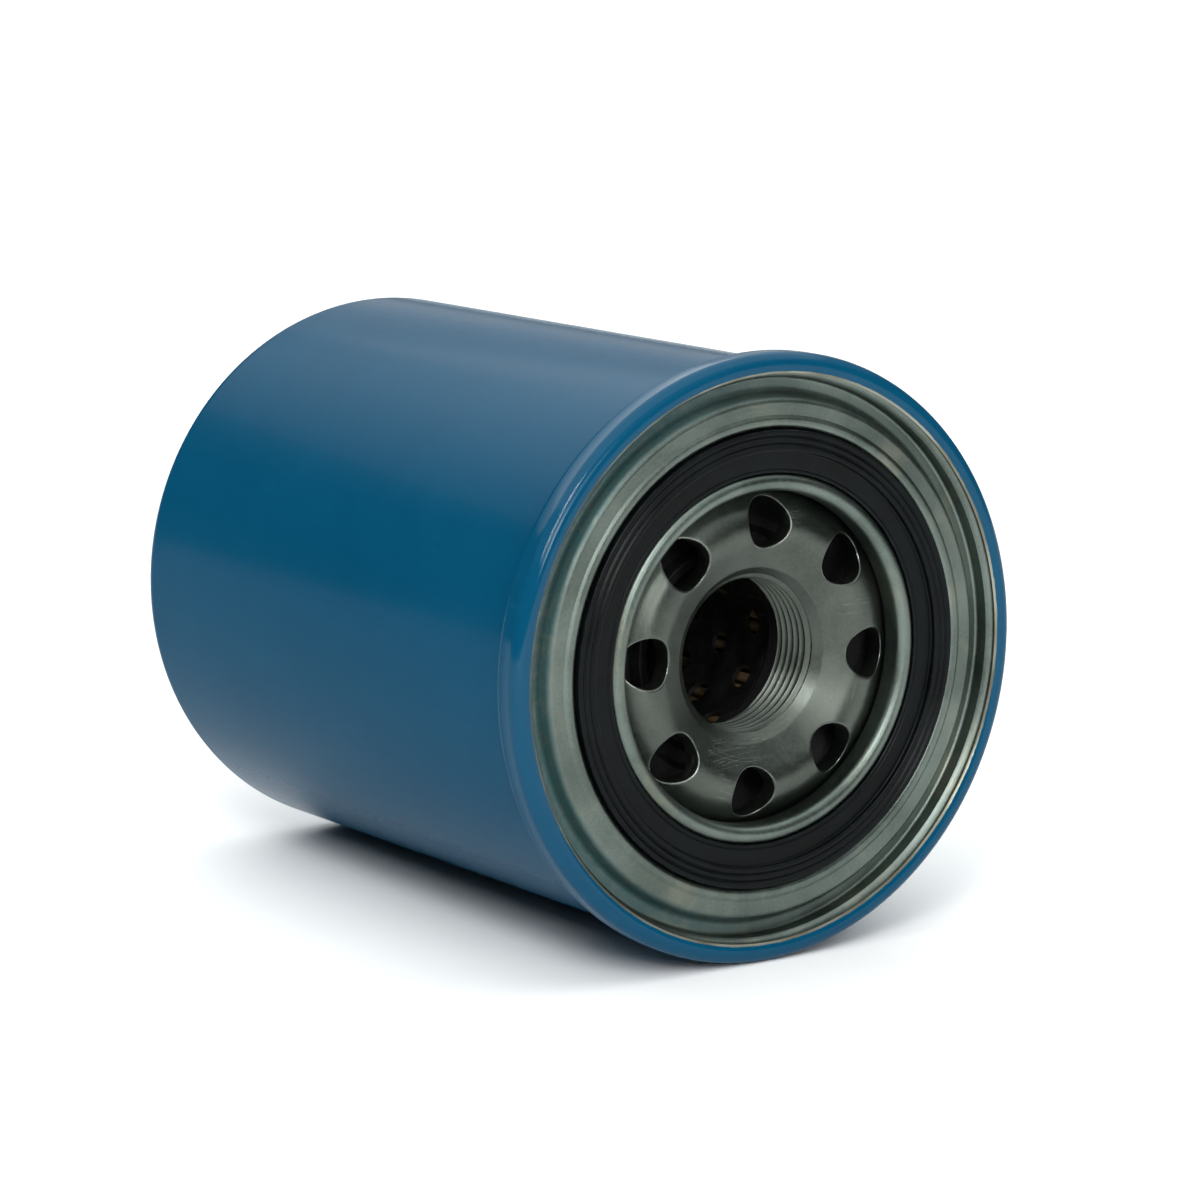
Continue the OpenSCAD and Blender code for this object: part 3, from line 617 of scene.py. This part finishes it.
# The third colour is the painted sheen on the convex edges.
valve_rubber = moulded_rubber("Drain-back valve rubber", (0.009, 0.009, 0.01), (0.02, 0.02, 0.022),
                              (0.035, 0.035, 0.037), 0.45, 0.65, 0.004)
valve = turned("drainback_valve_rubber", valve_outline, None, "valve_rubber", 160)
valve.data.materials.append(valve_rubber)
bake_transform(valve)
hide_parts("drainback_valve_collar", "drainback_valve_flap")

# ---- Pleated paper and its clip --------------------------------------------------------------
# Resin-cured filter paper, folded into 56 deep pleats and closed into a band; a folded steel
# strip grips the two ends over one pleat.

pleats, paper_t, pleat_w = 56, 0.65, 1.9
pleat_in_r, pleat_out_r, paper_top, paper_end = 18.578, 39.5, -20.284, -99.46


def pleat_line():
    """The paper's closed middle line, seen along the axis, every fold rounded."""
    foot = math.pi * pleat_in_r / pleats - 0.15 - paper_t / 2
    half = pleat_w / 2 - paper_t / 2
    low, high = pleat_in_r + paper_t / 2, pleat_out_r - paper_t / 2
    corners = []
    for k in range(pleats):
        turn = 2 * math.pi * k / pleats
        for r, across, fillet in ((low, -foot, 0.4), (high, -half, 0.6),
                                  (high, half, 0.6), (low, foot, 0.4)):
            a = turn + math.asin(across / r)
            corners.append((r * math.cos(a), r * math.sin(a), fillet))
    return rounded(corners, 0.3)


def paper_mesh():
    line = pleat_line()
    count = len(line)
    closed = [line[-1]] + line + [line[0]]
    sides = [offset(closed, d)[1:-1] for d in (-paper_t / 2 + 0.03, paper_t / 2 - 0.03)]
    bm = bmesh.new()
    rows = []
    levels = 26
    for side in sides:
        for level in range(levels + 1):
            h = paper_top + (paper_end - paper_top) * level / levels
            row = []
            for p in side:
                turn = math.atan2(p.y, p.x)
                free = math.sin(math.pi * level / levels) * 0.02
                wave = math.sin(turn * 9 + level * 1.1) + math.sin(turn * 23 - level * 0.7)
                row.append(bm.verts.new(place(p.length, turn + free * wave / p.length, h)))
            rows.append(row)
    outer, inner = rows[:levels + 1], rows[levels + 1:]
    skin(bm, outer)
    skin(bm, inner)
    skin(bm, [outer[0], inner[0]])
    skin(bm, [outer[-1], inner[-1]])
    return bm


def cured_paper():
    """Tan cellulose: crossed fibres, resin clouding and darker fold lines."""
    made, tree, shader = new_material("Cured filter paper", Specular_IOR_Level=0.25)
    at = node_in(tree, "ShaderNodeTexCoord").outputs["Object"]
    base = use_group(tree, uneven_group, Blotch_scale=60.0, Grain_scale=900.0,
                     Dark=(0.13, 0.08, 0.038), Light=(0.22, 0.15, 0.075), Smooth=0.75, Rough=0.95)
    grain_way = node_in(tree, "ShaderNodeMapping", {"Vector": at, "Scale": (1, 0.15, 1)}).outputs[0]
    fibre = noise(tree, grain_way, 2600.0, 3.0, 0.7, 0.8)
    convex_edges = use_group(tree, convex_edge_group, Reach=0.1, Scale=500.0)["Mask"]
    colour = blend_colour(tree, span(tree, fibre, 0.5, 0.72, 0.0, 0.4), base["Colour"],
                          (0.3, 0.23, 0.13))
    tree.links.new(blend_colour(tree, maths(tree, "MULTIPLY", convex_edges, 0.4), colour, (0.08, 0.05, 0.022)),
                   shader.inputs["Base Color"])
    tree.links.new(base["Roughness"], shader.inputs["Roughness"])
    bump(tree, shader, fibre, 0.00008, 0.8)
    return made


paper = finish_mesh(paper_mesh(), "filter_media_paper", "element", crease=50)
store_edges(paper, 0.6, 2.0)
paper.data.materials.append(cured_paper())
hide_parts("filter_media")


def bright_plate(name, dark, light, smooth, rough):
    """Tinned or plated strip: spangled and slightly scratched."""
    made, tree, shader = new_material(name, Metallic=1.0)
    base = use_group(tree, uneven_group, Blotch_scale=160.0, Grain_scale=2500.0,
                     Dark=dark, Light=light, Smooth=smooth, Rough=rough)
    marks = use_group(tree, scratches_group, Scale=26.0, Share=0.6)["Mask"]
    rings = use_group(tree, turning_group, Rings_per_mm=3.5)
    tree.links.new(blend_colour(tree, marks, base["Colour"], (0.75, 0.77, 0.74)),
                   shader.inputs["Base Color"])
    tree.links.new(base["Roughness"], shader.inputs["Roughness"])
    height = maths(tree, "ADD", maths(tree, "MULTIPLY", base["Grain"], 0.4),
                   maths(tree, "SUBTRACT", maths(tree, "MULTIPLY", rings["Height"], 0.4), marks))
    bump(tree, shader, height, 0.00003, 0.7)
    return made


def finish_node(name, material):
    """Gives a carried-over piece its finished surface."""
    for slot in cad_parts[name].material_slots:
        slot.material = material


tinned = bright_plate("Tinned steel", (0.42, 0.44, 0.42), (0.66, 0.68, 0.66), 0.2, 0.38)
finish_node("media_clip", tinned)

# ---- End caps, potting and centre tube -------------------------------------------------------
# Two pressed tin-plate caps hold the paper in cured potting. A perforated steel tube inside
# keeps the pleats from falling in; clean oil leaves through its rows of staggered holes.

cap_t, cap_r, cap_rim = 0.5, 40.5, 6.0


def cap_outline(face, inward, hub_mid_r, hub_length):
    """A pressed cap's outline: its rim, its flat and, where it has one, its hub."""
    mid = face + inward * cap_t / 2
    line = [(cap_r - cap_t / 2, face + inward * cap_rim, 0), (cap_r - cap_t / 2, mid, 0.3)]
    if hub_length:
        line += [(hub_mid_r, mid, 0.3), (hub_mid_r, face + inward * hub_length, 0)]
    else:
        line.append((hub_mid_r, mid, 0))
    return sheet_outline(rounded(line, 0.06), cap_t, 0.05)


mouth_cap = turned("mouth_end_cap_tinned", cap_outline(-16.744, -1, 17.208, 4.5), "element",
                   "tinned_steel", 192)
dome_cap = turned("dome_end_cap_tinned", cap_outline(-103.0, 1, 12.229, 0), "element",
                  "tinned_steel", 192)
for cap, node in ((mouth_cap, "mouth_end_cap"), (dome_cap, "dome_end_cap")):
    cap.data.materials.append(tinned)
    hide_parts(node)


def set_potting():
    """Cured plastisol: dark, satin, slumped a little unevenly, with pinholes."""
    made, tree, shader = new_material("Cured potting", Specular_IOR_Level=0.5)
    base = use_group(tree, uneven_group, Blotch_scale=90.0, Grain_scale=700.0,
                     Dark=(0.012, 0.015, 0.02), Light=(0.03, 0.035, 0.045), Smooth=0.25, Rough=0.5)
    pin = use_group(tree, specks_group, Scale=500.0, Size=0.3, Share=0.06)["Mask"]
    tree.links.new(blend_colour(tree, pin, base["Colour"], (0.004, 0.004, 0.005)),
                   shader.inputs["Base Color"])
    tree.links.new(base["Roughness"], shader.inputs["Roughness"])
    bump(tree, shader, maths(tree, "SUBTRACT", base["Grain"], pin), 0.0001, 0.7)
    return made


potting = set_potting()
finish_node("mouth_potting", potting)
finish_node("dome_potting", potting)
finish_node("centre_tube", bright_plate("Perforated tube steel", (0.1, 0.105, 0.1),
                                        (0.19, 0.195, 0.19), 0.35, 0.55))

# ---- Bypass valve ----------------------------------------------------------------------------
# A spring-loaded poppet in the element's rear end. It lets oil past a blocked element: the
# plate and rubber washer lift off the raised lip of the seat, guided by the stem in its cage.

finish_node("bypass_valve_seat", tinned)
finish_node("bypass_valve_cage", bright_plate("Cage plate", (0.4, 0.42, 0.4),
                                              (0.6, 0.62, 0.6), 0.25, 0.42))
finish_node("bypass_valve_disc", bright_plate("Valve disc steel", (0.25, 0.27, 0.26),
                                              (0.42, 0.44, 0.42), 0.3, 0.45))
finish_node("bypass_valve_stem", bright_plate("Stem steel", (0.5, 0.52, 0.5),
                                              (0.7, 0.72, 0.7), 0.15, 0.3))
# The third colour is the painted sheen on the convex edges.
seal_rubber = moulded_rubber("Valve seal rubber", (0.01, 0.01, 0.011), (0.025, 0.025, 0.027),
                             (0.05, 0.05, 0.052), 0.5, 0.7, 0.003)
finish_node("bypass_valve_seal", seal_rubber)


def coil_mesh(mean_r, wire_d, turns, low, high, sides=14, per_turn=48):
    """Round wire wound right-handed, its end turns closed and its cut ends rounded."""
    steps = round(turns * per_turn)
    flat = wire_d + 0.05
    climb = (high - low - wire_d - 2 * flat) / (turns - 2)
    bm = bmesh.new()
    rows = []
    for i in range(steps + 1):
        t = i / per_turn
        rise = (t * flat if t < 1 else flat + (t - 1) * climb if t < turns - 1
                else high - low - wire_d - (turns - t) * flat)
        from_end = min(i, steps - i)
        shrink = (0.45, 0.8, 0.95)[from_end] if from_end < 3 else 1.0
        row = []
        for j in range(sides):
            b = 2 * math.pi * j / sides
            h = low + wire_d / 2 + rise + wire_d / 2 * shrink * math.sin(b)
            h = min(max(h, low + 0.03), high - 0.03)
            r = mean_r + wire_d / 2 * shrink * math.cos(b)
            row.append(bm.verts.new(place(r, 2 * math.pi * t, h)))
        rows.append(row)
    skin(bm, rows)
    bm.faces.new(rows[0])
    bm.faces.new(rows[-1][::-1])
    return bm


def drawn_wire():
    """Hard-drawn spring wire: dark phosphate film and rubbed contact faces."""
    made, tree, shader = new_material("Drawn spring wire", Metallic=1.0)
    base = use_group(tree, uneven_group, Blotch_scale=120.0, Grain_scale=2600.0,
                     Dark=(0.11, 0.115, 0.11), Light=(0.24, 0.25, 0.235), Smooth=0.22, Rough=0.42)
    convex_edges = use_group(tree, convex_edge_group, Reach=0.05, Scale=260.0)["Mask"]
    tree.links.new(blend_colour(tree, convex_edges, base["Colour"], (0.4, 0.41, 0.39)), shader.inputs["Base Color"])
    tree.links.new(base["Roughness"], shader.inputs["Roughness"])
    bump(tree, shader, base["Grain"], 0.00002, 0.7)
    return made


wire = drawn_wire()
bypass_low, bypass_high, bypass_travel = -97.76, -82.03, 4.0
bypass_spring = finish_mesh(coil_mesh(5.5, 1.2, 6.5, bypass_low, bypass_high),
                            "bypass_valve_spring_wire", "element", crease=60)
store_edges(bypass_spring, 0.9, 3.0)
bypass_spring.data.materials.append(wire)
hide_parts("bypass_valve_spring")
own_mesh(bypass_spring)

# ---- Support spring and its seat -------------------------------------------------------------
# A coil of 2.4 mm wire between the can's end and the element pushes the element forward onto
# the drain-back valve's flange. A pressed ring on the element's cap keeps the coil centred.

seat_t = 0.7
seat_path = rounded([(21.2, -103.37, 0), (15.05, -103.37, 0.7), (15.05, -106.97, 0)], 0.1)
spring_seat = turned("spring_seat_tinned", sheet_outline(seat_path, seat_t, 0.06), "element",
                     "tinned_steel", 160)
spring_seat.data.materials.append(tinned)
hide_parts("spring_seat")

support_low, support_high, float_travel = -119.05, -103.77, 2.0
support_spring = finish_mesh(coil_mesh(17.0, 2.4, 4, support_low, support_high, 18, 72),
                             "support_spring_wire", "housing", crease=60)
store_edges(support_spring, 0.5, 2.0)
support_spring.data.materials.append(wire)
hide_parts("support_spring")
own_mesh(support_spring)

# ---- Can -------------------------------------------------------------------------------------
# Deep-drawn 0.7 mm steel, sprayed with blue gloss enamel outside before it is closed. Its mouth
# is flared and rolled over the lid's hook, which leaves the cut edge bare on the seam's crest.

can_t, can_mid_r, roll_r = 0.7, 46.15, 2.0
can_path = arc_line(seam_middle, roll_r - can_t / 2, 130, 0, 26)[:-1]
can_path += rounded([
    (48.15, -1.4, 0), (48.15, -4.2, 1.5), (can_mid_r, -6.2, 1.5), (can_mid_r, -116.95, 3.15),
    (36.0, -116.95, 3.0), (32.0, -119.45, 3.0), (0.0, -119.45, 0)], 0.15)
can_outside, can_inside = offset(can_path, can_t / 2), offset(can_path, -can_t / 2)
can_inside[-1].x = can_outside[-1].x = 0.0
can_outline = can_outside + can_inside[::-1]
painted = [1.0] * len(can_outside) + [0.0] * len(can_inside)


def blue_enamel():
    """Blue gloss enamel with a slight orange peel, dust nibs, and bare metal on the cut edge."""
    made, tree, shader = new_material("Blue enamel", Coat_Roughness=0.07, Coat_IOR=1.5,
                                      Specular_IOR_Level=0.022, Specular_Tint=(0.3, 0.88, 1.0, 1.0))
    at = node_in(tree, "ShaderNodeTexCoord").outputs["Object"]
    where = use_group(tree, around_axis_group)
    base = use_group(tree, uneven_group, Blotch_scale=35.0, Grain_scale=900.0,
                     Dark=(0.0014, 0.053, 0.11), Light=(0.002, 0.059, 0.121), Smooth=0.16, Rough=0.24)
    nib = use_group(tree, specks_group, Scale=420.0, Size=0.1, Share=0.006)["Mask"]
    marks = use_group(tree, scratches_group, Scale=22.0, Share=0.25)["Mask"]
    ragged = noise(tree, at, 380.0, 4.0, 0.75)
    side = node_in(tree, "ShaderNodeAttribute", attribute_name="painted").outputs["Fac"]
    frayed = maths(tree, "SUBTRACT", ragged, 0.5)
    paint = span(tree, maths(tree, "ADD", side, maths(tree, "MULTIPLY", frayed, 0.9)), 0.55, 0.7)
    reach = maths(tree, "ADD", where["Radius"], maths(tree, "MULTIPLY", frayed, 0.35))
    rub = maths(tree, "MULTIPLY", span(tree, reach, 45.62, 45.48),
                span(tree, where["Depth"], 1.0, 0.7))
    paint = maths(tree, "MULTIPLY", paint, maths(tree, "SUBTRACT", 1.0, rub))
    lacquer = blend_colour(tree, span(tree, noise(tree, at, 70.0, 3.0), 0.4, 0.65),
                           (0.16, 0.15, 0.11), (0.3, 0.3, 0.25))
    colour = blend_colour(tree, maths(tree, "MULTIPLY", marks, 0.5), base["Colour"],
                          (0.012, 0.12, 0.24))
    colour = blend_colour(tree, maths(tree, "MULTIPLY", nib, 0.4), colour, (0.06, 0.16, 0.25))
    tree.links.new(blend_colour(tree, paint, lacquer, colour), shader.inputs["Base Color"])
    tree.links.new(maths(tree, "MULTIPLY", maths(tree, "SUBTRACT", 1.0, paint), 0.5),
                   shader.inputs["Metallic"])
    gloss = span(tree, where["Depth"], 4.0, 1.5, 0.02, 0.3)
    tree.links.new(maths(tree, "MULTIPLY", paint, gloss), shader.inputs["Coat Weight"])
    tree.links.new(maths(tree, "ADD", base["Roughness"], maths(tree, "MULTIPLY", marks, 0.2)),
                   shader.inputs["Roughness"])
    peel = noise(tree, at, 420.0, 2.0, 0.5)
    height = maths(tree, "ADD", maths(tree, "MULTIPLY", peel, 0.5),
                   maths(tree, "ADD", nib, maths(tree, "MULTIPLY", paint, 0.8)))
    bump(tree, shader, height, 0.00002, 0.6)
    return made


can = turned("can_painted", can_outline, "housing", "blue_paint", 320, painted=painted)
can.data.materials.append(blue_enamel())
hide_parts("can")

# ---- Seam compound ---------------------------------------------------------------------------
# A thin bead of cured compound that fills the pocket between the lid's wall and its hook.


def cured_compound():
    made, tree, shader = new_material("Seam compound")
    base = use_group(tree, uneven_group, Blotch_scale=140.0, Grain_scale=1200.0,
                     Dark=(0.2, 0.16, 0.08), Light=(0.36, 0.3, 0.17), Smooth=0.4, Rough=0.65)
    tree.links.new(base["Colour"], shader.inputs["Base Color"])
    tree.links.new(base["Roughness"], shader.inputs["Roughness"])
    bump(tree, shader, base["Grain"], 0.0001, 0.6)
    return made


finish_node("seam_sealant", cured_compound())

# ---- Mounting gasket -------------------------------------------------------------------------
# Black nitrile ring pressed into the lid's groove. Its raised outer band seals on the engine and
# has two fine grooves moulded in; the shelf inside it sits lower.

gasket_in, gasket_out, gasket_foot = 29.5, 36.4, -5.0
band = gasket_out - 3.4
gasket_points = [(gasket_in, gasket_foot + 0.5, 0), (gasket_in + 0.5, gasket_foot, 0),
                 (gasket_out - 0.5, gasket_foot, 0), (gasket_out, gasket_foot + 0.5, 0),
                 (gasket_out, 0.0, 0.3)]
for groove in (gasket_out - 3.4 / 3, gasket_out - 6.8 / 3):
    gasket_points += [(groove + 0.35, 0.0, 0.12), (groove, -0.35, 0.1), (groove - 0.35, 0.0, 0.12)]
gasket_points += [(band, 0.0, 0.3), (band, -1.0, 0.25), (gasket_in + 0.9, -1.0, 0.12),
                  (gasket_in + 0.7, -1.15, 0.1), (gasket_in + 0.5, -1.0, 0.12), (gasket_in, -1.0, 0.25)]
gasket_outline = rounded(gasket_points, 0.05)
gasket = turned("mounting_gasket_rubber", gasket_outline, "housing", "gasket_rubber", 288)
# The third colour is the painted sheen on the ridges and edges.
gasket.data.materials.append(moulded_rubber("Gasket rubber", (0.0008, 0.0014, 0.0016),
                                            (0.0025, 0.004, 0.0043), (0.015, 0.02, 0.021),
                                            0.26, 0.4, 0.012))
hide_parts("mounting_gasket")

# ---- Floor, light and camera -----------------------------------------------------------------
# The filter lies on a pale table, on its seam and its rear corner. A wide soft light hangs over
# it; panels behind and before it and two thin strips on the left put the highlights in.

seam_r, rear_r, rear_depth = 48.5, 46.5, 113.8
table_tilt = math.atan((seam_r - rear_r) / rear_depth)
table_half = 4.0
table_mesh = bpy.data.meshes.new("table")
table_corners = ((-1, -1), (1, -1), (1, 1), (-1, 1))
table_mesh.from_pydata([(x * table_half, y * table_half, 0) for x, y in table_corners],
                       [], [(0, 1, 2, 3)])
table = bpy.data.objects.new("table", table_mesh)
bpy.context.scene.collection.objects.link(table)
table.matrix_world = (Matrix.Translation((0, 0.003, -seam_r / 1000))
                      @ Matrix.Rotation(table_tilt, 4, "X"))
table_paint, table_tree, table_shader = new_material("Pale table", Roughness=0.9, Specular_IOR_Level=0.1)
table_tone = use_group(table_tree, uneven_group, Blotch_scale=3.0, Grain_scale=40.0,
                       Dark=(0.9, 0.9, 0.9), Light=(0.93, 0.93, 0.93), Smooth=0.85, Rough=0.95)
table_tree.links.new(table_tone["Colour"], table_shader.inputs["Base Color"])
table_mesh.materials.append(table_paint)


def soft_light(name, at, towards, size, power, colour=(1, 1, 1)):
    lamp = bpy.data.lights.new(name, "AREA")
    lamp.shape, lamp.size, lamp.size_y = "RECTANGLE", *size
    lamp.energy, lamp.color = power, colour
    made = bpy.data.objects.new(name, lamp)
    back = (Vector(at) - Vector(towards)).normalized()
    made.matrix_world = Matrix.Translation(at) @ back.to_track_quat("Z", "Y").to_matrix().to_4x4()
    bpy.context.scene.collection.objects.link(made)


soft_light("overhead_soft", (0.3, 1.2, 2.6), (0.3, 1.2, 0), (5.6, 6.2), 140)
soft_light("far_panel", (2.2, 3.0, 1.15), (0, 0, 0.1), (2.6, 1.8), 11)
soft_light("upper_panel", (0.1, 2.6, 1.75), (0, 0, 0), (3.4, 0.9), 16)
for across in (-0.13, 0.13):
    soft_light("left_strip", (-1.15 + across * 0.73, -1.22 - across * 0.68, 1.25), (0, 0, 0),
               (0.045, 0.9), 10)
soft_light("front_table", (-0.3, -0.75, 0.35), (-0.3, -0.75, 0), (0.6, 0.5), 3)
soft_light("front_panel", (-0.45, -1.85, 0.55), (0, 0, 0), (0.4, 0.4), 7)

world = bpy.data.worlds.new("room")
world.use_nodes = True
room = world.node_tree
looking = node_in(room, "ShaderNodeTexCoord").outputs["Generated"]
rise = node_in(room, "ShaderNodeSeparateXYZ", {"Vector": looking}).outputs["Z"]
room_tone = blend_colour(room, span(room, rise, 0.4, 0.52), (0.03, 0.035, 0.036), (0.45, 0.5, 0.5))
seen = node_in(room, "ShaderNodeLightPath").outputs["Is Camera Ray"]
room.links.new(blend_colour(room, seen, room_tone, (1.0, 1.0, 1.0)),
               room.nodes["Background"].inputs["Color"])
bpy.context.scene.world = world
bpy.context.scene.view_settings.view_transform = "Standard"

lens = bpy.data.cameras.new("camera")
lens.lens, lens.sensor_width, lens.sensor_fit = 136.35, 36, "HORIZONTAL"
lens.clip_start, lens.clip_end = 0.05, 20
camera = bpy.data.objects.new("camera", lens)
right, up = Vector((0.8215, -0.570, 0)), Vector((0.1009, 0.1454, 0.984))
back = Vector((-0.561, -0.8085, 0.177))
turned_to = Matrix((right, up, back)).transposed().to_quaternion().normalized().to_matrix()
aim, aside, above, away = Vector((0, 0.0012, 0)), -0.026, 0.00934, 0.712
spot = aim + aside * right + above * up + away * back
camera.matrix_world = Matrix.Translation(spot) @ turned_to.to_4x4()
bpy.context.scene.collection.objects.link(camera)
bpy.context.scene.camera = camera
